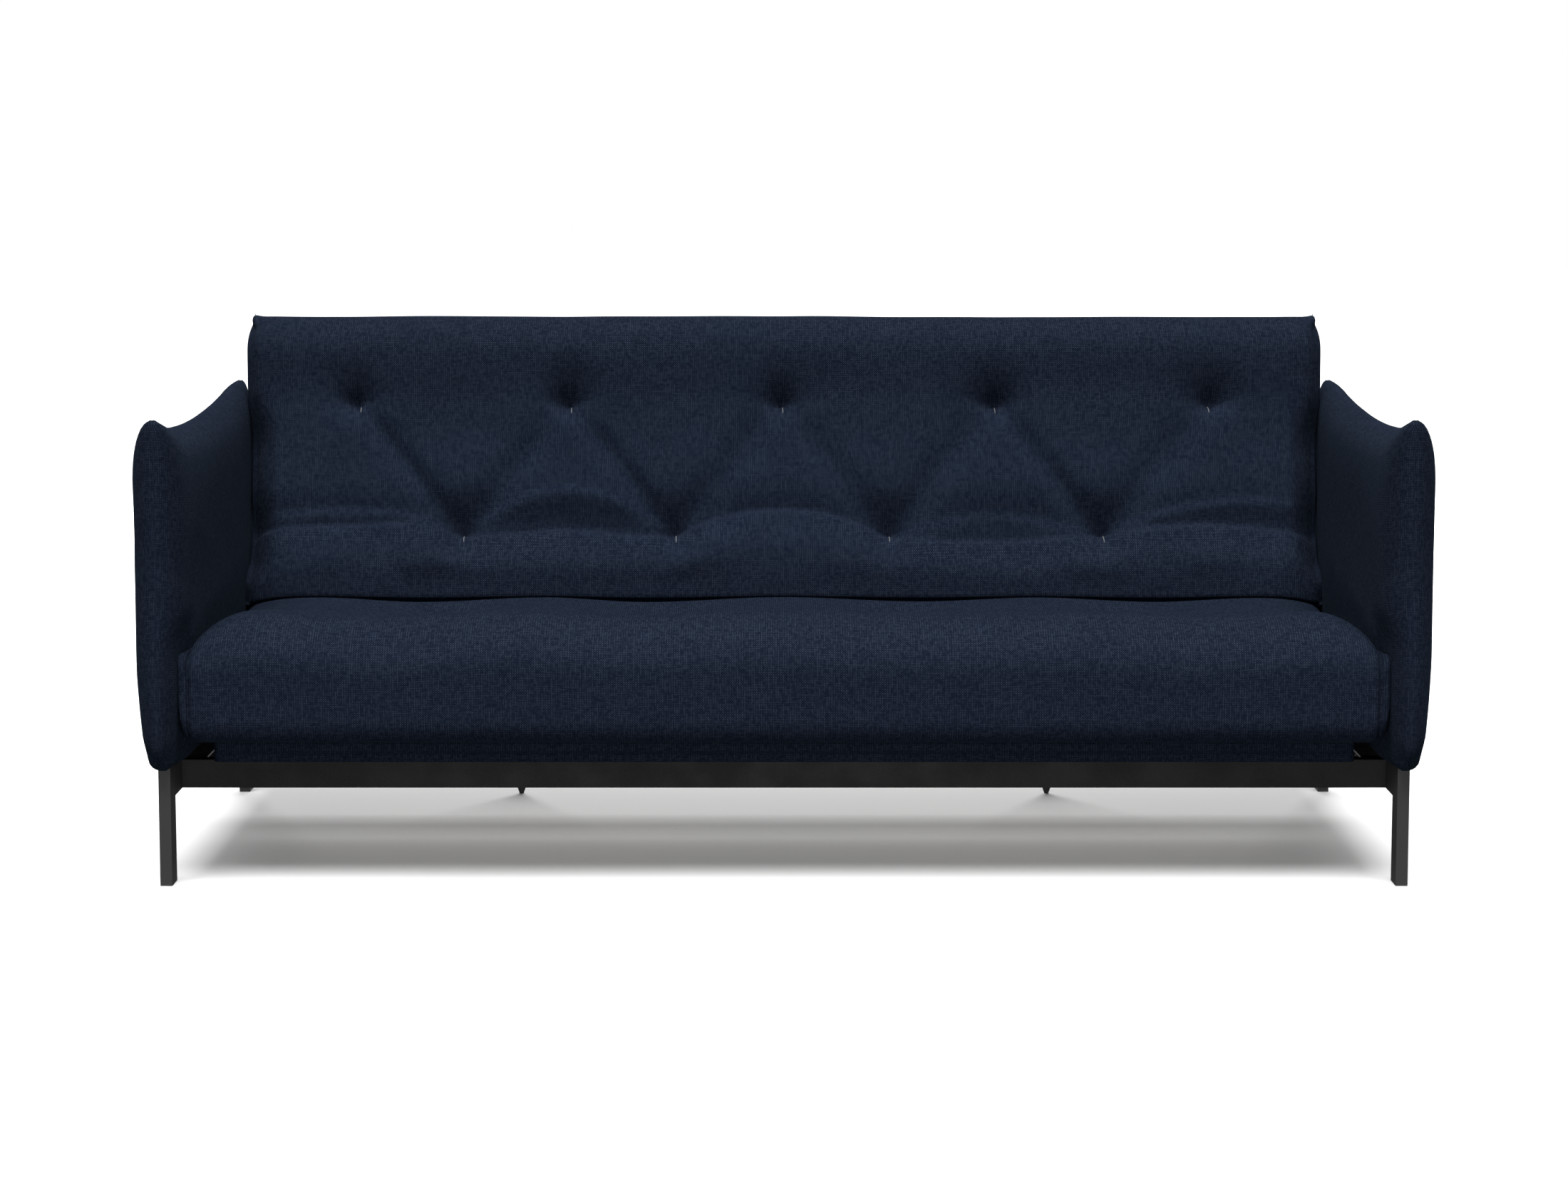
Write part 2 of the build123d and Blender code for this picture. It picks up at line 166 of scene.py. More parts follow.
def near_line(x, y, start, end):
    """Distance from the line start to end, and how far along it, 0 to 1."""
    (x0, y0), (x1, y1) = start, end
    dx, dy = x1 - x0, y1 - y0
    t = np.clip(((x - x0) * dx + (y - y0) * dy) / (dx * dx + dy * dy), 0, 1)
    return np.hypot(x - x0 - t * dx, y - y0 - t * dy), t


def along(points, x):
    """Height at x of a smooth line through the points."""
    xs, ys = np.array(points).T
    slopes = np.gradient(ys, xs)
    i = np.clip(np.searchsorted(xs, x) - 1, 0, len(xs) - 2)
    width = xs[i + 1] - xs[i]
    t = np.clip((x - xs[i]) / width, 0, 1)
    level = ys[i] + (ys[i + 1] - ys[i]) * t * t * (3 - 2 * t)
    return level + width * (slopes[i] * (t - 2 * t**2 + t**3) + slopes[i + 1] * (t**3 - t**2))


def patch(low_line, high_line, start_line, end_line, u, v):
    """A sheet filled in between four lines that meet at its corners: shares u run along the low
    and high lines, and shares v along the start and end lines."""
    u, v = u[:, None, None], v[None, :, None]
    sheet = (1 - v) * low_line[:, None] + v * high_line[:, None]
    sheet = sheet + (1 - u) * start_line[None] + u * end_line[None]
    sheet = sheet - (1 - u) * ((1 - v) * low_line[0] + v * high_line[0])
    return sheet - u * ((1 - v) * low_line[-1] + v * high_line[-1])


def grid_corners(rows, columns, wrap=False):
    """Row and column of each quad's corners over a grid; wrap runs on from the last row."""
    r, c = np.meshgrid(np.arange(rows if wrap else rows - 1), np.arange(columns - 1), indexing="ij")
    corner_rows = np.stack([r, r, r + 1, r + 1], -1).reshape(-1, 4)
    corner_columns = np.stack([c, c + 1, c + 1, c], -1).reshape(-1, 4)
    return corner_rows, corner_columns


def make_mesh(name, points, faces, corner_uv):
    """A smooth mesh piece whose UV map holds places on the cloth, in metres."""
    mesh = bpy.data.meshes.new(name)
    mesh.from_pydata(points.tolist(), [], faces.tolist())
    layer = mesh.uv_layers.new(name="weave")
    layer.data.foreach_set("uv", np.asarray(corner_uv, np.float32).ravel())
    shell = bmesh.new()
    shell.from_mesh(mesh)
    bmesh.ops.recalc_face_normals(shell, faces=shell.faces)
    if shell.calc_volume(signed=True) < 0:
        bmesh.ops.reverse_faces(shell, faces=shell.faces)
    shell.to_mesh(mesh)
    shell.free()
    mesh.shade_smooth()
    piece = bpy.data.objects.new(name, mesh)
    bpy.context.scene.collection.objects.link(piece)
    return piece


# ---------------------------------------------------------------- mattress

five, four = (-2, -1, 0, 1, 2), (-1.5, -0.5, 0.5, 1.5)      # tufts in a row, counted from the middle
tufts_upper = [(tuft_pitch * i, upper_row) for i in five]
tufts_lower = [(tuft_pitch * i, lower_row) for i in four]
tufts_seat = [(tuft_pitch * i, seat_rows[0]) for i in four]
tufts_seat += [(tuft_pitch * i, seat_rows[1]) for i in five]

# Creases from each upper tuft to the lower ones beside it: ends, depth and width
creases = []
for i in five:
    for j in (i - 0.5, i + 0.5):
        if j in four:
            sharp = (i, j) in ((-2, -1.5), (-1, -0.5), (1, 1.5))
            ends = ((tuft_pitch * i, upper_row), (tuft_pitch * j, lower_row))
            creases.append((*ends, *(sharp_crease if sharp else soft_crease)))

# Where the lower back rolls forward over the seat: a line across it, at the roll's top
roll_line = (
    (-1.02, 0.252), (-0.80, 0.262), (-0.66, 0.262), (-0.60, 0.248), (-0.40, 0.254), (-0.20, 0.248),
    (-0.12, 0.276), (0.0, 0.292), (0.12, 0.276), (0.20, 0.248), (0.39, 0.232), (0.60, 0.248),
    (0.72, 0.262), (0.84, 0.262), (0.94, 0.250), (1.02, 0.246),
)
# Smaller folds above it: the line of each, how far the cloth below stands out, and the step's width
small_folds = (
    (((-0.60, 0.250), (-0.50, 0.312), (-0.40, 0.334), (-0.30, 0.312), (-0.20, 0.250)), 0.009, 0.016),
    (((0.20, 0.250), (0.30, 0.272), (0.40, 0.282), (0.50, 0.270), (0.60, 0.250)), 0.006, 0.018),
    (((0.60, 0.252), (0.72, 0.292), (0.84, 0.312), (0.98, 0.306)), 0.009, 0.015),
    (((-0.98, 0.282), (-0.84, 0.292), (-0.70, 0.284), (-0.60, 0.256)), 0.008, 0.012),
)

# Rise and fall of the seat where it meets the back
crest_line = (
    (-1.02, -0.002), (-0.85, 0.005), (-0.69, -0.004), (-0.42, 0.005), (-0.27, -0.004), (0.0, 0.006),
    (0.27, -0.003), (0.47, 0.005), (0.70, -0.004), (0.88, 0.004), (1.02, -0.002),
)


def tuft_depth(distance, pit, pit_reach, dimple, dimple_reach):
    return pit * np.exp(-distance / pit_reach) + dimple * bell(distance, dimple_reach)


def seat_height(x, y):
    """Height of the seat's upper face, laid flat, away from the fold."""
    forward = -y
    ahead = smooth(0.42, 0.71, forward)
    inward = np.maximum(1.0 - np.abs(x), gusset_in * ahead)
    height = seat_lip + (crown_height - seat_lip) * ahead
    height = height - end_drop * (1 - dome(inward, end_reach)) * (0.20 + 0.80 * ahead)
    height += along(crest_line, x) * smooth(0.12, 0.25, forward)
    height += 0.0030 * ripple(x, y, 0.16, 3)
    for tuft_x, tuft_y in tufts_seat:
        height -= tuft_depth(np.hypot(x - tuft_x, y - tuft_y), *seat_tuft)
    return height


def back_height_at(x, y):
    """Height of the back's front face, laid flat, away from the fold."""
    inward = 1.0 - np.abs(x)
    # fuller above the tufts and between their rows
    height = back_height + 0.010 * smooth(0.50, 0.60, y)
    height = height + 0.012 * smooth(0.46, 0.34, y) * smooth(0.26, 0.34, y)
    height -= back_end_drop * (1 - dome(inward, 0.11))
    height = height - arm_valley * smooth(0.048, 0.002, inward) * smooth(0.53, 0.42, y)
    line = along(roll_line, x)
    roll = 1 - (1 - np.clip((line - y) / 0.085, 0, 1)) ** 2
    height += 0.033 * roll + 0.009 * smooth(line + 0.004, line - 0.010, y)
    for points, stand, width in small_folds:
        line = along(points, x)
        inside = smooth(points[0][0], points[0][0] + 0.05, x)
        inside = inside * smooth(points[-1][0], points[-1][0] - 0.05, x)
        step = smooth(line + width / 2, line - width / 2, y) - smooth(line, line - 0.09, y)
        height += stand * step * inside
    for tuft_x, tuft_y in tufts_upper + tufts_lower:
        below = tuft_y - y
        upper = tuft_y == upper_row
        distance = np.hypot(x - tuft_x, below * np.where(below > 0, 1.4, 0.75))
        height -= tuft_depth(distance, *(upper_tuft if upper else lower_tuft))
        if upper:
            # a tongue of cloth stands out just below
            tongue = smooth(-0.003, 0.010, below) * smooth(0.120, 0.02, below)
            height += 0.010 * tongue * bell(x - tuft_x, 0.042)
    for start, end, depth, width in creases:
        distance, t = near_line(x, y, start, end)
        fade = 0.4 + 0.6 * np.sin(pi * t)
        height -= depth * fade * bell(distance, width)
    height += 0.0025 * ripple(x, y, 0.10, 5) + 0.0035 * ripple(x, y * 0.6, 0.075, 6) * roll
    return height


def lip_height(x, share):
    """Height of the upper face where it turns down into the fold: share is 0 on the seat, 1 on the back."""
    level = seat_lip * (1 - share) + back_lip * share
    level = level - lip_drop * (1 - dome(1.0 - np.abs(x), end_reach))
    return level + along(crest_line, x) * (1 - 0.6 * share)


def lip_reach(x, share):
    """Distance from the hinge's line at which that is, lying flat."""
    angle = bisector - fold * share
    return (fold_band - (1 - 2 * share) * lip_height(x, share) * cos(angle)) / sin(angle)


def top_height(x, y):
    """Height of the mattress's upper face above the hinge's plane, laid flat."""
    seat = seat_height(x, y)
    near = smooth(0.21, 0.14, -y)
    seat = seat * (1 - near) + lip_height(x, 0) * near
    back = back_height_at(x, y)
    near = smooth(0.205, 0.150, y)
    back = back * (1 - near) + lip_height(x, 1) * near
    return np.where(y < 0, seat, back)


def overhung(x, y):
    """Where the cloth over the roll's top edge hangs up over the crease above it."""
    return y + 0.008 * bell(y - along(roll_line, x) + 0.012, 0.012)


def across_place(x, half_width):
    """X of a place along the mattress, where x is -1 and 1 at its ends."""
    return x * half_width + sewn_aside * (1 - x**2)


def seat_place(y, z):
    """Y and Z of a place on the seat, which lies flat."""
    return axis_y + y, axis_z + z


def back_place(y, z):
    """From lying flat to leaning, for the back."""
    return axis_y + y * cos(fold) - z * sin(fold), axis_z + y * sin(fold) + z * cos(fold)


# Direction of the fold's groove, from +Y, in which its two lips meet
lip_ratio = back_lip / seat_lip
bisector = pi / 2 + fold / 2 + atan((lip_ratio - 1) / (lip_ratio + 1) * tan(pi / 2 - fold / 2))


def groove_place(t, height):
    """Inner face of the fold: t crosses it from seat to back, and height is what it has lying flat."""
    offset = fold_band * (2 * t - 1)
    turn = t * t * (3 - 2 * t) * fold
    deep = height + 0 * offset
    for _ in range(6):
        flat_angle = bisector - np.arctan2(offset, deep) - turn
        deep = np.sqrt(np.maximum((height / np.sin(flat_angle)) ** 2 - offset**2, 1e-6))
    y = axis_y + deep * cos(bisector) + offset * sin(bisector)
    z = axis_z + deep * sin(bisector) - offset * cos(bisector)
    return y, z, height / np.tan(flat_angle)


def underside_place(y):
    """Underside, rounded at both ends and round the hinge; y is as it lies flat."""
    arc_reach = (under_height + corner_fillet) * np.tan(fold / 2)
    if abs(y) < arc_reach:
        centre = (under_height + corner_fillet) / cos(fold / 2)
        angle = -pi / 2 + fold * (y / arc_reach + 1) / 2
        return (
            axis_y + centre * cos(bisector) + corner_fillet * cos(angle),
            axis_z + centre * sin(bisector) + corner_fillet * sin(angle),
        )
    if y < 0:
        past = max(0.0, under_round - (y + seat_reach)) / under_round
        droop = overhang_droop * float(smooth(trim_low.y - axis_y + 0.015, trim_low.y - axis_y - 0.035, y))
        return seat_place(y, under_height - droop + under_round * (1 - np.sqrt(1 - past**2)))
    past = max(0.0, rear_round - (back_reach - y)) / rear_round
    return back_place(y, under_height + rear_round * (1 - np.sqrt(1 - past**2)))


def end_curve(reach, x_top, low, round_top, round_under, count):
    """One end of the mattress, from the middle of its upper round to the middle of its lower one.
    Gives distances past the tangent of the end and heights, for each x."""
    turn = np.linspace(pi / 4, 0, 12)[:, None]
    upper_y = -round_top[0] * (1 - np.cos(turn)) + 0 * x_top
    upper_z = x_top - round_top[1] * (1 - np.sin(turn))
    turn = np.linspace(0, pi / 4, 8)[:, None]
    lower_y = -round_under * (1 - np.cos(turn)) + 0 * x_top
    lower_z = low + round_under * (1 - np.sin(turn)) + 0 * x_top
    y, z = np.concatenate([upper_y, lower_y]), np.concatenate([upper_z, lower_z])
    middle = y.shape[1] // 2
    length = np.concatenate([[0], np.cumsum(np.hypot(np.diff(y[:, middle]), np.diff(z[:, middle])))])
    wanted = np.linspace(0, length[-1], count)
    y = np.stack([np.interp(wanted, length, column) for column in y.T], axis=1)
    z = np.stack([np.interp(wanted, length, column) for column in z.T], axis=1)
    return reach + y, z


def places_along():
    """Places along the mattress, -1 to 1: even in the middle, and close together round the seams."""
    end_insets = np.array([
        0.030, 0.023, 0.018, 0.0158, 0.0144, 0.013, 0.0116, 0.0102, 0.008, 0.005, 0.0025, 0.0008, 0,
    ])
    half = np.concatenate([np.linspace(0, 0.962, 112), 1.0 - end_insets])
    return np.concatenate([-half[:0:-1], half])[None, :]


def mattress_section(x):
    """The section at each x, in rows round it: the Y and Z of each row, its y and z as the cloth
    lies flat, and how many of the rows make the upper face."""
    inward = 1.0 - np.abs(x)
    columns = x.shape[1]
    front = -seat_reach + 0.004 * ripple(x, 0 * x, 0.25, 11)
    rear = back_reach + 0.004 * bell(inward, 0.07) + 0.0025 * ripple(x, 0 * x, 0.3, 12)
    rear = rear + ear_length * bell(inward, 0.013)

    places, flat = [], []

    def add(place, flat_y, flat_z):
        places.append([np.broadcast_to(value, (1, columns))[0] for value in place])
        flat.append([np.broadcast_to(value, (1, columns))[0] for value in (flat_y, flat_z)])

    # upper face, from the seat's front to the back's top
    turns = np.linspace(pi / 4, pi / 2, 9)[:-1]
    tight = 1 - corner_tight * bell(inward, 0.040)
    round_y, round_z = front_round[0] * tight, front_round[1] * tight
    tangent = front + round_y
    for turn in turns:
        y = tangent - round_y * cos(turn)
        z = top_height(x, tangent) - round_z * (1 - sin(turn))
        add(seat_place(y, z), y, z)
    lip, back_side = lip_reach(x, 0), lip_reach(x, 1)
    steps = int((seat_reach - front_round[0] - lip.max()) / row_spacing)
    for share in np.linspace(0, 1, steps)[:-1]:
        y = tangent * (1 - share) - lip * share
        z = top_height(x, y)
        add(seat_place(y, z), y, z)
    for t in np.linspace(0, 1, 27):
        z = lip_height(x, t * t * (3 - 2 * t))
        place_y, place_z, flat_y = groove_place(t, z)
        add((place_y, place_z), flat_y, z)
    tangent = rear - top_round[0]
    steps = int((back_reach - top_round[0] - lip.max()) / (row_spacing * 0.75))
    for share in np.linspace(0, 1, steps)[1:]:
        y = back_side * (1 - share) + tangent * share
        z = top_height(x, y)
        add(back_place(overhung(x, y), z), y, z)
    for turn in turns[::-1]:
        y = tangent + top_round[0] * cos(turn)
        z = top_height(x, tangent) - top_round[1] * (1 - sin(turn))
        add(back_place(y, z), y, z)
    upper_rows = len(places)

    # over the top edge to the back's rear face
    y, z = end_curve(rear, top_height(x, tangent), under_height, top_round, rear_round, end_rows)
    for i in range(1, end_rows - 1):
        add(back_place(y[i], z[i]), y[i], z[i])

    # rear face and underside, the same number of rows as the upper face, the other way
    corner = 1 - cos(pi / 4)
    upper_y = np.array([row[0][columns // 2] for row in flat])[:upper_rows]
    reach = float(lip.max())
    under_y = np.interp(
        upper_y,
        (upper_y[0], -reach, reach, upper_y[-1]),
        (-seat_reach + under_round * corner, -reach, reach, back_reach - rear_round * corner),
    )
    for y in under_y[::-1]:
        add(underside_place(y), y, under_height)

    # up the seat's front
    lowest = under_height - overhang_droop
    tangent = front + round_y
    y, z = end_curve(-front, top_height(x, tangent), lowest, (round_y, round_z), under_round, end_rows)
    for i in range(end_rows - 2, 0, -1):
        add(seat_place(-y[i], z[i]), -y[i], z[i])
    return np.array(places), np.array(flat), upper_rows


def finish_ends(x, places, flat, upper_rows):
    """Points of the mattress, drawn in towards both ends with a seam round each and pinched corners."""
    inward = 1.0 - np.abs(x)
    section_y, section_z = places[:, 0], places[:, 1]
    tangent_y = np.roll(section_y, -1, 0) - np.roll(section_y, 1, 0)
    tangent_z = np.roll(section_z, -1, 0) - np.roll(section_z, 1, 0)
    length = np.hypot(tangent_y, tangent_z)
    out_y, out_z = -tangent_z / length, tangent_y / length
    # less deep in the fold and at the back's top corners, and sharper on the seat
    on_top = (np.arange(len(flat)) < upper_rows)[:, None]
    tucked = 1 - 0.75 * (1 - smooth(0.13, 0.20, np.abs(flat[:, 0]))) * on_top
    ear = smooth(0.635, 0.668, flat[:, 0])
    on_seat = smooth(-0.30, -0.50, flat[:, 0])
    inset = (0.012 - 0.007 * on_seat) * np.clip(1 - inward / gusset_in, 0, 1) ** 0.85
    seam_groove = bell(inward - gusset_in, 0.0026)
    inset = inset + (0.0025 + 0.0065 * on_seat) * seam_groove
    from_corner = np.hypot(flat[:, 0] - flat[0, 0], flat[:, 1] - flat[0, 1])
    # the seat's front top corners stand out as ears
    inset = inset - 0.009 * bell(inward, 0.009) * bell(from_corner, 0.020)
    section_y = section_y - out_y * inset * tucked * (1 - 0.75 * ear)
    section_z = section_z - out_z * inset * tucked * (1 - 0.75 * ear)
    lower = smooth(-0.70, -0.76, flat[:, 0]) * smooth(under_height + 0.075, under_height, flat[:, 1])
    section_z = section_z + corner_lift * (1 - dome(inward, 0.034)) * lower

    half_width = mattress_half + front_flare * smooth(0.60, 0.76, -flat[:, 0])
    half_width = half_width + top_flare * smooth(0.40, 0.52, flat[:, 0])
    half_width += 0.006 * ear - 0.003 * smooth(0.60, 0.655, flat[:, 0])
    half_width -= 0.004 * bell(flat[:, 0] - 0.650, 0.009)
    return np.stack([across_place(x, half_width), section_y, section_z], axis=-1)


def end_panel(points, column, upper_rows, first_number):
    """A panel filled in between the edges at one end of the mattress: its inner points, numbered
    from first_number, and the numbers of all its points in a grid."""
    rows, columns = points.shape[:2]
    loop = np.arange(rows)
    top_edge = loop[:upper_rows]
    rear_edge = loop[upper_rows - 1:upper_rows + end_rows - 1]
    under_edge = loop[upper_rows + end_rows - 2:2 * upper_rows + end_rows - 2][::-1]
    front_edge = np.append(loop[2 * upper_rows + end_rows - 3:], 0)[::-1]
    edge = points[:, column]
    u, v = np.linspace(0, 1, upper_rows), np.linspace(0, 1, end_rows)
    panel = patch(edge[top_edge], edge[under_edge], edge[front_edge], edge[rear_edge], u, v)
    bulge = 0.009 * dome(v, 0.5) * dome(1 - v, 0.5)
    bulge = bulge * (dome(u, 0.06) * dome(1 - u, 0.06))[:, None]
    bulge = bulge * (1 + 0.3 * ripple(panel[..., 1], panel[..., 2], 0.06, 21))
    panel[..., 0] += np.sign(edge[0, 0]) * bulge
    numbers = np.empty((upper_rows, end_rows), int)
    numbers[:, 0], numbers[:, -1] = top_edge, under_edge
    numbers[-1, :], numbers[0, :] = rear_edge, front_edge
    numbers = numbers * columns + column
    inner = panel[1:-1, 1:-1]
    numbers[1:-1, 1:-1] = first_number + np.arange(inner[..., 0].size).reshape(inner.shape[:2])
    return inner.reshape(-1, 3), numbers


def build_mattress():
    x = places_along()
    places, flat, upper_rows = mattress_section(x)
    points = finish_ends(x, places, flat, upper_rows)
    rows, columns = points.shape[:2]

    # distances round the section, between two lines of tufts
    reference = columns // 2 + 12
    step = np.hypot(*(np.diff(np.append(flat[:, i, reference], flat[0, i, reference])) for i in (0, 1)))
    cloth_v = np.concatenate([[0], np.cumsum(step)])
    corner_rows, corner_columns = grid_corners(rows, columns, wrap=True)
    all_points = [points.reshape(-1, 3)]
    all_faces = [(corner_rows % rows) * columns + corner_columns]
    all_uv = [np.stack([x[0][corner_columns], cloth_v[corner_rows]], axis=-1).reshape(-1, 2)]

    corner_rows, corner_columns = grid_corners(upper_rows, end_rows)
    across = 2.5 + np.linspace(0, 0.15, end_rows)
    panel_uv = np.stack([across[corner_columns], cloth_v[corner_rows]], axis=-1).reshape(-1, 2)
    for column in (0, columns - 1):
        inner, numbers = end_panel(points, column, upper_rows, sum(map(len, all_points)))
        all_points.append(inner)
        all_faces.append(numbers[corner_rows, corner_columns])
        all_uv.append(panel_uv)
    return make_mesh(
        "mattress", np.concatenate(all_points), np.concatenate(all_faces), np.concatenate(all_uv)
    )


mattress = build_mattress()

# ---------------------------------------------------------------- arms


def arm_outline():
    """Four edges of an arm's side view, (y, z) from its front lower corner, each end to end."""
    front, rear = cad_low.y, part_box("arm_pad_outer_right")[1][1]
    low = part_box("side_beam_right")[1][2] + 0.0003
    r, ear = arm_bottom_round, arm_ear_round
    turn = np.linspace(pi / 4, 0, 10)

    def joined(*runs):
        return np.concatenate([np.stack(run, axis=-1) for run in runs])

    bottom = joined(
        (front + r - r * np.sin(turn), low + r - r * np.cos(turn)),
        (np.linspace(front + r, rear - r, 60)[1:-1], np.full(58, low)),
        ((rear - r + r * np.sin(turn))[::-1], (low + r - r * np.cos(turn))[::-1]),
    )
    side = joined(
        (front + r - r * np.cos(turn), low + r - r * np.sin(turn)),
        (np.full(59, front), np.linspace(low + r, arm_ear_z - ear, 60)[1:]),
        (front + ear * (1 - np.cos(turn[::-1])), arm_ear_z - ear * (1 - np.sin(turn[::-1]))),
    )
    # the front and rear edges lean in a little under the ears
    height = (side[:, 1] - low) / (arm_ear_z - low)
    waist = 0.007 * np.sin(pi * np.clip((height - 0.1) / 0.9, 0, 1)) ** 2
    front_edge = side + np.stack([waist, 0 * waist], axis=-1)
    rear_edge = np.stack([front + rear - side[:, 0] - waist, side[:, 1]], axis=-1)
    # the top edge runs from the middle of one ear's round to the middle of the other's
    reach = np.linspace(ear * (1 - cos(pi / 4)), rear - front - ear * (1 - cos(pi / 4)), 120)
    from_end = np.minimum(reach, rear - front - reach)
    rounding = ear * (1 - dome(from_end, ear))
    top = np.stack([front + reach, arm_ear_z + along(arm_top_line, reach) - rounding], axis=-1)
    front_edge[-1], rear_edge[-1] = top[0], top[-1]
    return bottom, front_edge, rear_edge, top


def resample(line, shares):
    """Points at those shares of a line's length."""
    length = np.concatenate([[0], np.cumsum(np.hypot(*np.diff(line, axis=0).T))])
    return np.stack([np.interp(shares * length[-1], length, axis) for axis in line.T], axis=-1)


def distance_to(line, points):
    """Shortest distance from each point to a line of many short runs."""
    fine = resample(line, np.linspace(0, 1, 400))
    return np.min(np.hypot(
        points[..., 0, None] - fine[:, 0], points[..., 1, None] - fine[:, 1]
    ), axis=-1)


def edge_spacing(length, middle_step):
    """Shares of a length, close together at both ends."""
    near = np.array([0, 0.0004, 0.0012, 0.004, 0.008, 0.014, 0.022, 0.031, 0.041])
    count = int((length - 2 * near[-1]) / middle_step)
    middle = np.linspace(near[-1], length - near[-1], count + 2)[1:-1]
    return np.concatenate([near, middle, length - near[::-1]]) / length


def arm_sheet():
    """An arm's side view as a grid of (y, z), and how far each place is filled out, 0 to 1."""
    bottom, front_edge, rear_edge, top = arm_outline()
    u = edge_spacing(1.0, 0.010)
    v = edge_spacing(0.57, 0.010)
    low_line, high_line = resample(bottom, u), resample(top, u)
    front_line, rear_line = resample(front_edge, v), resample(rear_edge, v)
    sheet = patch(low_line, high_line, front_line, rear_line, u, v)
    from_rim = np.minimum(distance_to(front_edge, sheet), distance_to(rear_edge, sheet))
    from_bottom, from_top = distance_to(bottom, sheet), distance_to(top, sheet)
    in_rim, in_top = np.clip(from_rim / arm_fill_in, 0, 1), np.clip(from_top / arm_fill_down, 0, 1)
    both = in_rim * in_top / np.maximum((in_rim**1.6 + in_top**1.6) ** (1 / 1.6), 1e-9)
    up = 0.46 * dome(from_bottom, 0.014) + 0.54 * dome(from_bottom, 0.20)
    fill = dome(1.35 * both, 1) ** 1.3 * up
    # even out the ridges where the sides' slopes meet
    for _ in range(10):
        mean = (fill[2:, 1:-1] + fill[:-2, 1:-1] + fill[1:-1, 2:] + fill[1:-1, :-2]) / 4
        calm = smooth(0.05, 0.08, np.minimum(np.minimum(from_rim, from_top), from_bottom))[1:-1, 1:-1]
        fill[1:-1, 1:-1] += (mean - fill[1:-1, 1:-1]) * calm
    edge = np.ones(fill.shape, bool)
    edge[1:-1, 1:-1] = False
    fill[edge] = 0

    # the seam is drawn in between the two panels
    seam_in = 0.0015 + 0.0040 * smooth(0.004, 0.020, distance_to(top, sheet))
    toward = sheet[len(u) // 2, len(v) // 2] - sheet
    toward = toward / np.maximum(np.linalg.norm(toward, axis=-1, keepdims=True), 1e-6)
    drawn = seam_in * edge * smooth(0.20, 0.25, sheet[..., 1])
    return sheet + toward * drawn[..., None], fill


def cloth_distances(grid):
    """Distances over a grid of points, from its middle, along both of its ways."""
    lengths = []
    for axis in (0, 1):
        run = np.linalg.norm(np.diff(grid, axis=axis), axis=-1)
        run = np.concatenate([np.zeros_like(run.take([0], axis)), np.cumsum(run, axis)], axis)
        lengths.append(run - run.take([run.shape[axis] // 2], axis))
    return np.stack(lengths, axis=-1)


def build_arm(name, side):
    """One arm: an outer and an inner panel, filled out from the seam that joins them."""
    sheet, fill = arm_sheet()
    y, z = sheet[..., 0], sheet[..., 1]
    pressed = smooth(-0.36, -0.44, y) * smooth(0.47, 0.40, z)
    hollow = arm_hollow * smooth(0.08, 0.42, y)
    outer_numbers = np.arange(fill.size).reshape(fill.shape)
    inner_numbers = outer_numbers.copy()
    within = inner_numbers[1:-1, 1:-1]
    within[:] = fill.size + np.arange(within.size).reshape(within.shape)
    corner_rows, corner_columns = grid_corners(*fill.shape)

    points, faces, uv = [], [], []
    for face, thickness, numbers in (
        (1, arm_outer_x - arm_seam_x, outer_numbers),
        (-1, arm_seam_x - arm_inner_x, inner_numbers),
    ):
        lumps = 1 + 0.05 * ripple(y, z, 0.16, 31 + face + (side > 0) * 7)
        full = fill * np.minimum(lumps, 1.0) * (1 - np.maximum(arm_thin_in * pressed, hollow) * (face < 0))
        grid = np.stack([side * (arm_seam_x + face * thickness * full), y, z], axis=-1)
        points.append((grid if face > 0 else grid[1:-1, 1:-1]).reshape(-1, 3))
        faces.append(numbers[corner_rows, corner_columns])
        cloth = cloth_distances(grid) * (face, 1) + (4 * face, 5)
        uv.append(cloth[corner_rows, corner_columns].reshape(-1, 2))
    return make_mesh(name, np.concatenate(points), np.concatenate(faces), np.concatenate(uv))


arms = {"left": build_arm("arm_left", -1), "right": build_arm("arm_right", 1)}

# ---------------------------------------------------------------- trim and stitches


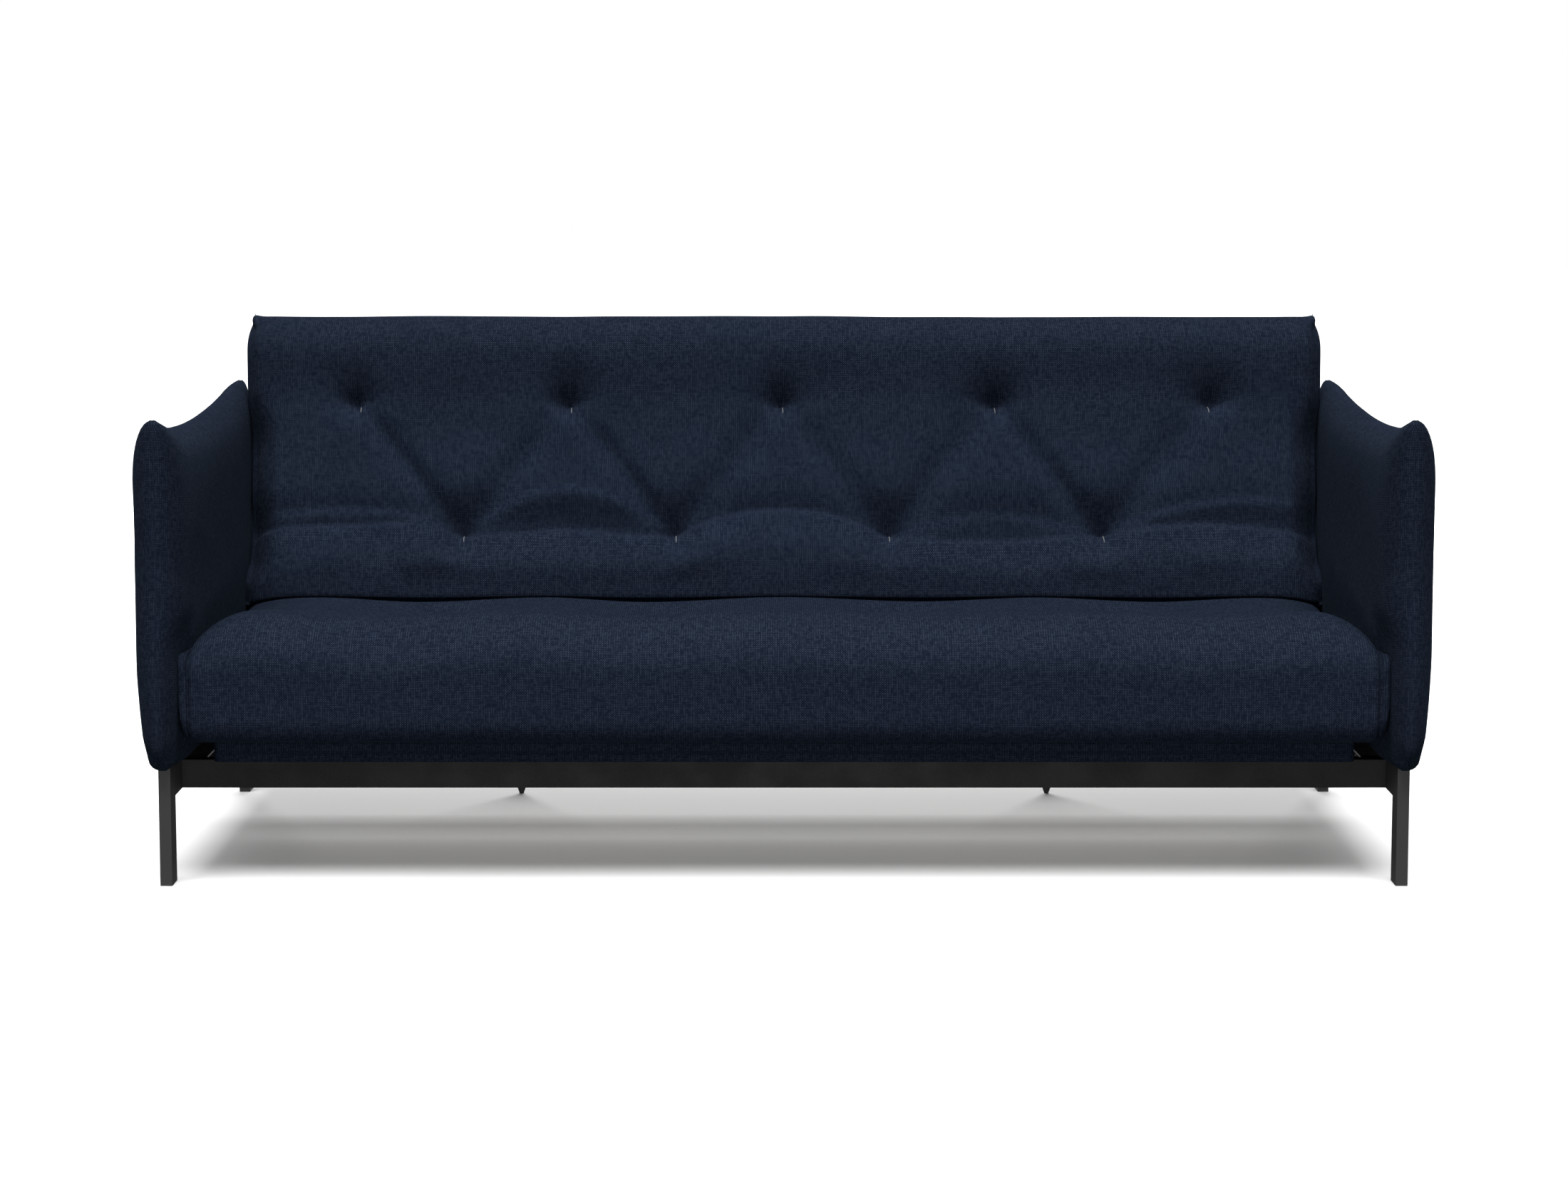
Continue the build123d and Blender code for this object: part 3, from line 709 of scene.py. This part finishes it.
def build_trim():
    """Cloth-wrapped front edge of the seat frame, creased along its middle, round at both ends."""
    length = trim_high.x - trim_low.x
    x = trim_low.x + length * edge_spacing(length, 0.012)
    inward = np.minimum(x - trim_low.x, trim_high.x - x)[None, :]
    depth, height = trim_high.y - trim_low.y, trim_high.z - trim_low.z
    # its section from the bottom up, as shares of its height and depth
    lift = np.array([
        0, 0, 0.03, 0.12, 0.25, 0.38, 0.44, 0.47, 0.5, 0.53, 0.56, 0.62, 0.75, 0.88, 0.97, 1, 1,
    ])[:, None]
    stand = np.array([
        0, 0.5, 0.86, 0.96, 1, 0.99, 0.96, 0.9, 0.84, 0.9, 0.96, 0.99, 1, 0.96, 0.86, 0.5, 0,
    ])[:, None]
    waver = 0.03 * ripple(x[None, :], 6 * lift, 0.05, 41)
    y = trim_high.y - depth * np.clip(stand * (1 + waver), 0, 1) * dome(inward, 0.016)
    z = trim_low.z + height * (lift + 0.015 * ripple(x[None, :], 0 * lift, 0.08, 42) * (stand > 0.9))
    rows, columns = y.shape
    points = np.stack([np.broadcast_to(x, y.shape), y, np.clip(z, trim_low.z, trim_high.z)], axis=-1)
    corner_rows, corner_columns = grid_corners(rows, columns, wrap=True)
    faces = (corner_rows % rows) * columns + corner_columns
    around = np.linspace(0, 0.08, rows + 1)
    uv = np.stack([x[corner_columns], 8 + around[corner_rows]], axis=-1)
    return make_mesh("front_trim", points.reshape(-1, 3), faces, uv.reshape(-1, 2))


def thread(path, radius, sides=8):
    """Points and quads of a round thread along a path, drawn almost to a point at both ends."""
    forward = np.gradient(path, axis=0)
    forward /= np.linalg.norm(forward, axis=1, keepdims=True)
    across = np.cross(forward, (1.0, 0.3, 0.2))
    across /= np.linalg.norm(across, axis=1, keepdims=True)
    other = np.cross(forward, across)
    turn = np.linspace(0, 2 * pi, sides, endpoint=False)
    from_end = np.minimum(np.arange(len(path)), np.arange(len(path))[::-1])
    width = radius * np.clip(dome(from_end, 1.5), 0.05, 1)
    ring = across[:, None] * np.cos(turn)[:, None] + other[:, None] * np.sin(turn)[:, None]
    points = path[:, None] + ring * width[:, None, None]
    index = np.arange(len(path) * sides).reshape(len(path), sides)
    nearby = np.roll(index, -1, axis=1)
    quads = np.stack([index[:-1], nearby[:-1], nearby[1:], index[1:]], axis=-1)
    return points.reshape(-1, 3), quads.reshape(-1, 4)


def build_stitches(name, tufts, place):
    """A short pale stitch in the mouth of each tuft, along its lower right side."""
    all_points, all_faces, count = [], [], 0
    for tuft_x, tuft_y in tufts:
        steps = np.linspace(0, 1, 9)
        y = tuft_y - 0.002 - stitch_length * steps
        x = tuft_x + 0.003 + 0.001 * steps
        z = top_height(x, y) + 0.0012 + 0.0036 * np.sin(pi * steps)
        placed_y, placed_z = place(overhung(x, y), z)
        path = np.stack([across_place(x, mattress_half), placed_y, placed_z], axis=-1)
        points, faces = thread(path, stitch_radius)
        all_points.append(points)
        all_faces.append(faces + count)
        count += len(points)
    faces = np.concatenate(all_faces)
    return make_mesh(name, np.concatenate(all_points), faces, np.zeros((faces.size, 2)))


trim = build_trim()
back_stitches = build_stitches("back_stitches", tufts_upper + tufts_lower, back_place)
seat_stitches = build_stitches("seat_stitches", tufts_seat, seat_place)

# ---------------------------------------------------------------- materials


class Shader:
    """A procedural material under construction."""

    def __init__(self, name):
        self.material = bpy.data.materials.new(name)
        self.material.use_nodes = True
        self.tree = self.material.node_tree
        self.surface = self.tree.nodes["Principled BSDF"]

    def node(self, kind, settings=(), **inputs):
        """A new node with its settings, and its inputs set or linked."""
        made = self.tree.nodes.new("ShaderNode" + kind)
        for key, value in dict(settings).items():
            setattr(made, key, value)
        for key, value in inputs.items():
            self.put(made.inputs[key.replace("_", " ")], value)
        return made

    def put(self, socket, value):
        if isinstance(value, bpy.types.NodeSocket):
            self.tree.links.new(value, socket)
        else:
            socket.default_value = value

    def math(self, operation, *values):
        made = self.tree.nodes.new("ShaderNodeMath")
        made.operation = operation
        for socket, value in zip(made.inputs, values):
            self.put(socket, value)
        return made.outputs[0]

    def times(self, first, second):
        return self.math("MULTIPLY", first, second)

    def spread(self, value, low, high, to_low=0.0, to_high=1.0):
        """Values from low to high turned into to_low to to_high, with soft ends."""
        made = self.node("MapRange", {"interpolation_type": "SMOOTHSTEP"}, Value=value)
        for key, number in zip(("From Min", "From Max", "To Min", "To Max"), (low, high, to_low, to_high)):
            made.inputs[key].default_value = number
        return made.outputs["Result"]

    def noise(self, place, scale, detail=2.0, roughness=0.5):
        made = self.node("TexNoise", Vector=place, Scale=scale, Detail=detail, Roughness=roughness)
        return made.outputs["Fac"]

    def blend_colour(self, share, first, second):
        made = self.node("Mix", {"data_type": "RGBA"})
        self.put(made.inputs["Factor"], share)
        colours = [socket for socket in made.inputs if socket.type == "RGBA"]
        for socket, value in zip(colours, (first, second)):
            self.put(socket, value)
        return next(socket for socket in made.outputs if socket.type == "RGBA")

    def combine(self, x, y, z=0.0):
        made = self.node("CombineXYZ")
        for socket, value in zip(made.inputs, (x, y, z)):
            self.put(socket, value)
        return made.outputs[0]

    def set(self, **inputs):
        """Sets or links the surface's own sockets."""
        for key, value in inputs.items():
            self.put(self.surface.inputs[key.replace("_", " ")], value)

    def bump(self, height, distance, strength=1.0):
        made = self.node("Bump", Height=height, Strength=strength, Distance=distance)
        self.put(self.surface.inputs["Normal"], made.outputs["Normal"])


yarn = 0.002                   # spacing of the cloth's threads
navy_dark = (0.0043, 0.0067, 0.0137, 1)
navy_light = (0.0254, 0.0338, 0.0520, 1)


def fabric_material():
    """Navy plain weave, in which patches of pale warp, weft and crossing threads come and go."""
    cloth = Shader("navy_fabric")
    split = cloth.node("SeparateXYZ", Vector=cloth.node("UVMap", {"uv_map": "weave"}).outputs["UV"])
    warp = cloth.math("DIVIDE", split.outputs["X"], yarn)
    weft = cloth.math("DIVIDE", split.outputs["Y"], yarn)
    wave_u = cloth.math("SINE", cloth.times(warp, pi))
    wave_v = cloth.math("SINE", cloth.times(weft, pi))
    checker = cloth.times(wave_u, wave_v)
    warp_pair = cloth.math("FLOOR", cloth.times(warp, 0.5))
    weft_pair = cloth.math("FLOOR", cloth.times(weft, 0.5))

    def patchy(first, first_scale, second, second_scale, detail=1.0):
        place = cloth.combine(cloth.times(first, first_scale), cloth.times(second, second_scale))
        return cloth.noise(place, 1.0, detail)

    warp_runs = cloth.spread(patchy(warp_pair, 3.7, weft, 0.13), 0.38, 0.64)
    weft_runs = cloth.spread(patchy(warp, 0.11, weft_pair, 4.3), 0.38, 0.66)
    patches = cloth.spread(patchy(warp, 0.30, weft, 0.36), 0.40, 0.62, 0.45, 1.0)
    tone = cloth.spread(patchy(warp, 0.035, weft, 0.05, 3.0), 0.3, 0.7, -0.02, 0.04)
    warp_lines = cloth.times(cloth.spread(wave_u, -0.3, 0.9), warp_runs)
    weft_lines = cloth.times(cloth.spread(wave_v, -0.3, 0.9), weft_runs)
    points = cloth.times(cloth.spread(checker, -0.2, 0.6), patches)

    light = cloth.times(warp_lines, 0.48)
    light = cloth.math("MULTIPLY_ADD", weft_lines, 0.34, light)
    light = cloth.math("MULTIPLY_ADD", points, 0.82, light)
    light = cloth.math("ADD", tone, light)
    colour = cloth.blend_colour(cloth.spread(light, 0.0, 1.3), navy_dark, navy_light)
    cloth.set(Base_Color=colour, Roughness=0.90, Specular_IOR_Level=0.0)
    cloth.set(Sheen_Weight=0.02, Sheen_Roughness=0.4, Sheen_Tint=(0.40, 0.55, 0.80, 1))
    thread_height = cloth.math("MULTIPLY_ADD", light, 0.5, cloth.times(cloth.math("ABSOLUTE", checker), 0.7))
    cloth.bump(thread_height, 0.0005, 0.55)
    return cloth.material


def object_place(shader):
    return shader.node("TexCoord").outputs["Object"]


def steel_material(name, tone, shine):
    """Black powder coat: a fine grain, slightly worn to a sheen here and there."""
    steel = Shader(name)
    place = object_place(steel)
    grain = steel.noise(place, 1100, 2.0, 0.6)
    wear = steel.noise(place, 14, 3.0)
    dark, light = (tone, tone, 1.04 * tone, 1), (2.5 * tone, 2.5 * tone, 2.6 * tone, 1)
    colour = steel.blend_colour(steel.spread(grain, 0.35, 0.7), dark, light)
    steel.set(Base_Color=colour, Roughness=steel.spread(wear, 0.3, 0.7, 0.50, 0.62), Specular_IOR_Level=shine)
    steel.bump(grain, 0.0002, 0.7)
    return steel.material


def zinc_material():
    zinc = Shader("zinc_steel")
    place = object_place(zinc)
    cloud = zinc.noise(place, 60, 4.0)
    colour = zinc.blend_colour(cloud, (0.50, 0.51, 0.53, 1), (0.66, 0.66, 0.65, 1))
    zinc.set(Base_Color=colour, Metallic=1.0, Roughness=zinc.spread(cloud, 0.3, 0.7, 0.28, 0.42))
    zinc.bump(zinc.noise(place, 500, 2.0), 0.0001, 0.4)
    return zinc.material


def grained_material(name, dark, light, roughness, scale, depth):
    """Moulded plastic or rubber with a fine matt grain."""
    moulded = Shader(name)
    grain = moulded.noise(object_place(moulded), scale, 3.0, 0.6)
    rough = moulded.spread(grain, 0.3, 0.7, roughness - 0.06, roughness + 0.06)
    moulded.set(Base_Color=moulded.blend_colour(grain, dark, light), Roughness=rough)
    moulded.bump(grain, depth, 0.6)
    return moulded.material


def wood_material(name, dark, light, roughness, lean=0.0):
    """Wood grain running front to back, or that direction turned up by lean."""
    wood = Shader(name)
    turned = wood.node("Mapping", Vector=object_place(wood), Rotation=(-lean, 0, 0))
    place = wood.node("Mapping", Vector=turned.outputs["Vector"], Scale=(90, 3, 90)).outputs["Vector"]
    rings = wood.noise(place, 1.0, 5.0, 0.6)
    pores = wood.noise(place, 9.0, 3.0, 0.7)
    share = wood.math("MULTIPLY_ADD", wood.spread(pores, 0.55, 0.75), -0.3, wood.spread(rings, 0.3, 0.7))
    rough = wood.spread(rings, 0.3, 0.7, roughness, roughness + 0.12)
    wood.set(Base_Color=wood.blend_colour(share, dark, light), Roughness=rough)
    wood.bump(pores, 0.00015, 0.5)
    return wood.material


def thread_material():
    thread_look = Shader("stitching_thread")
    fibres = thread_look.noise(object_place(thread_look), 2500, 2.0)
    colour = thread_look.blend_colour(fibres, (0.10, 0.105, 0.11, 1), (0.22, 0.225, 0.23, 1))
    thread_look.set(Base_Color=colour, Roughness=0.8)
    thread_look.bump(fibres, 0.0001, 0.8)
    return thread_look.material


plastic_dark, plastic_light = (0.010, 0.010, 0.010, 1), (0.024, 0.024, 0.025, 1)
nylon_dark, nylon_light = (0.66, 0.64, 0.58, 1), (0.78, 0.77, 0.72, 1)
rubber_dark, rubber_light = (0.012, 0.012, 0.012, 1), (0.028, 0.028, 0.028, 1)
birch_dark, birch_light = (0.52, 0.36, 0.20, 1), (0.72, 0.55, 0.36, 1)
board_dark, board_light = (0.36, 0.24, 0.13, 1), (0.56, 0.41, 0.25, 1)
fabric = fabric_material()
materials = {
    "navy_fabric": fabric,
    "black_steel": steel_material("black_steel", 0.012, 0.40),
    "zinc_steel": zinc_material(),
    "black_plastic": grained_material("black_plastic", plastic_dark, plastic_light, 0.55, 700, 0.0002),
    "white_nylon": grained_material("white_nylon", nylon_dark, nylon_light, 0.42, 300, 0.0001),
    "buffer_rubber": grained_material("buffer_rubber", rubber_dark, rubber_light, 0.8, 900, 0.0002),
    "birch": wood_material("birch", birch_dark, birch_light, 0.38),
    "board": wood_material("board", board_dark, board_light, 0.7),
}
# The back's slats run up the lean, and the rails get a darker, duller copy of the legs' steel: painted shade
# from the seat's overhang above them
rail_steel_painted_shade = steel_material("black_rail", 0.005, 0.15)
own_materials = {
    "back_slats": wood_material("birch_leaning", birch_dark, birch_light, 0.38, fold),
    "front_rail": rail_steel_painted_shade,
    "rear_rail": rail_steel_painted_shade,
}
thread_colour = thread_material()

edge_width = {"black_steel": 0.0012, "black_plastic": 0.0008, "birch": 0.0015}
for subpart in frame["record"]["subparts"]:
    node, slot = frame["nodes"][subpart["node"]], subpart["material_slot"]
    node.data.materials.clear()
    node.data.materials.append(own_materials.get(subpart["node"], materials[slot]))
    if slot in edge_width:
        bevel = node.modifiers.new("edges", "BEVEL")
        bevel.width = edge_width[slot]
        bevel.segments = 2
        bevel.limit_method = "ANGLE"
        bevel.angle_limit = radians(50)

# ---------------------------------------------------------------- cloth, riding, and hiding the CAD pieces they replace

for piece in (mattress, trim, *arms.values()):
    piece.data.materials.append(fabric)
for piece, body in ((back_stitches, "back"), (seat_stitches, "seat")):
    piece.data.materials.append(thread_colour)
    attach(piece, body)
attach(trim, "seat")
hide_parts("seat_front_trim")
for side, piece in arms.items():
    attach(piece, "base")
    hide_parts("arm_pad_outer_" + side, "arm_pad_inner_" + side)
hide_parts("mattress_seat", "mattress_back")
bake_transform(mattress)

# ---------------------------------------------------------------- floor, light and camera


floor_tone = 0.86
floor_glow = 0.02
sky_light = 0.12               # on the sofa, while the camera sees plain white


def stage_material(name):
    stage = Shader(name)
    speckle = stage.noise(object_place(stage), 3.0, 2.0)
    tones = [(tone, tone, tone, 1) for tone in (floor_tone, floor_tone * 1.01)]
    stage.set(Base_Color=stage.blend_colour(speckle, *tones), Roughness=0.9, Specular_IOR_Level=0.1)
    stage.set(Emission_Color=(1, 1, 1, 1), Emission_Strength=floor_glow)
    return stage.material


bpy.ops.mesh.primitive_plane_add(size=60, location=(0, 0, 0))
floor = bpy.context.object
floor.name = "floor"
floor.data.materials.append(stage_material("pale_floor"))
# light from the floor would wash out the shaded sides
floor.visible_diffuse = False
floor.visible_glossy = False

world = bpy.context.scene.world or bpy.data.worlds.new("studio")
bpy.context.scene.world = world
world.use_nodes = True
background = world.node_tree.nodes["Background"]
background.inputs["Color"].default_value = (1, 1, 1, 1)
seen = world.node_tree.nodes.new("ShaderNodeLightPath").outputs["Is Camera Ray"]
strength = world.node_tree.nodes.new("ShaderNodeMapRange")
strength.inputs["To Min"].default_value = sky_light
strength.inputs["To Max"].default_value = 1.0
world.node_tree.links.new(seen, strength.inputs["Value"])
world.node_tree.links.new(strength.outputs["Result"], background.inputs["Strength"])


def place_light(name, kind, place, target, power):
    data = bpy.data.lights.new(name, kind)
    data.energy = power
    light = bpy.data.objects.new(name, data)
    bpy.context.scene.collection.objects.link(light)
    light.location = place
    light.rotation_euler = (Vector(target) - Vector(place)).to_track_quat("-Z", "Y").to_euler()
    light.visible_camera = False
    return data


overhead = place_light("overhead", "SUN", (-0.02, -0.33, 1.0), (0, 0, 0), 5.9)
overhead.angle = radians(44)   # as soft as a wide softbox
# Name, place, target, watts, width and height
boxes = (
    ("front_box", (-0.1, -6.0, 4.4), (0, 0, 0.4), 64, 2.6, 2.6),
    ("front_fill", (0, -3.6, 0.36), (0, 0, 0.25), 57, 2.6, 0.4),
    ("rear_box", (0, 6.0, 2.4), (0, 0, 0.2), 560, 6.0, 2.0),
)
for name, place, target, power, width, height in boxes:
    box = place_light(name, "AREA", place, target, power)
    box.shape = "RECTANGLE"
    box.size, box.size_y = width, height

camera_tilt = 7.02             # degrees down
camera = bpy.data.objects.new("camera", bpy.data.cameras.new("camera"))
camera.data.lens = 85
camera.data.sensor_width = 36
camera.location = (0, -6.54, 1.231)
camera.rotation_euler = (radians(90 - camera_tilt), 0, 0)
bpy.context.scene.collection.objects.link(camera)
bpy.context.scene.camera = camera
bpy.context.scene.view_settings.view_transform = "Standard"
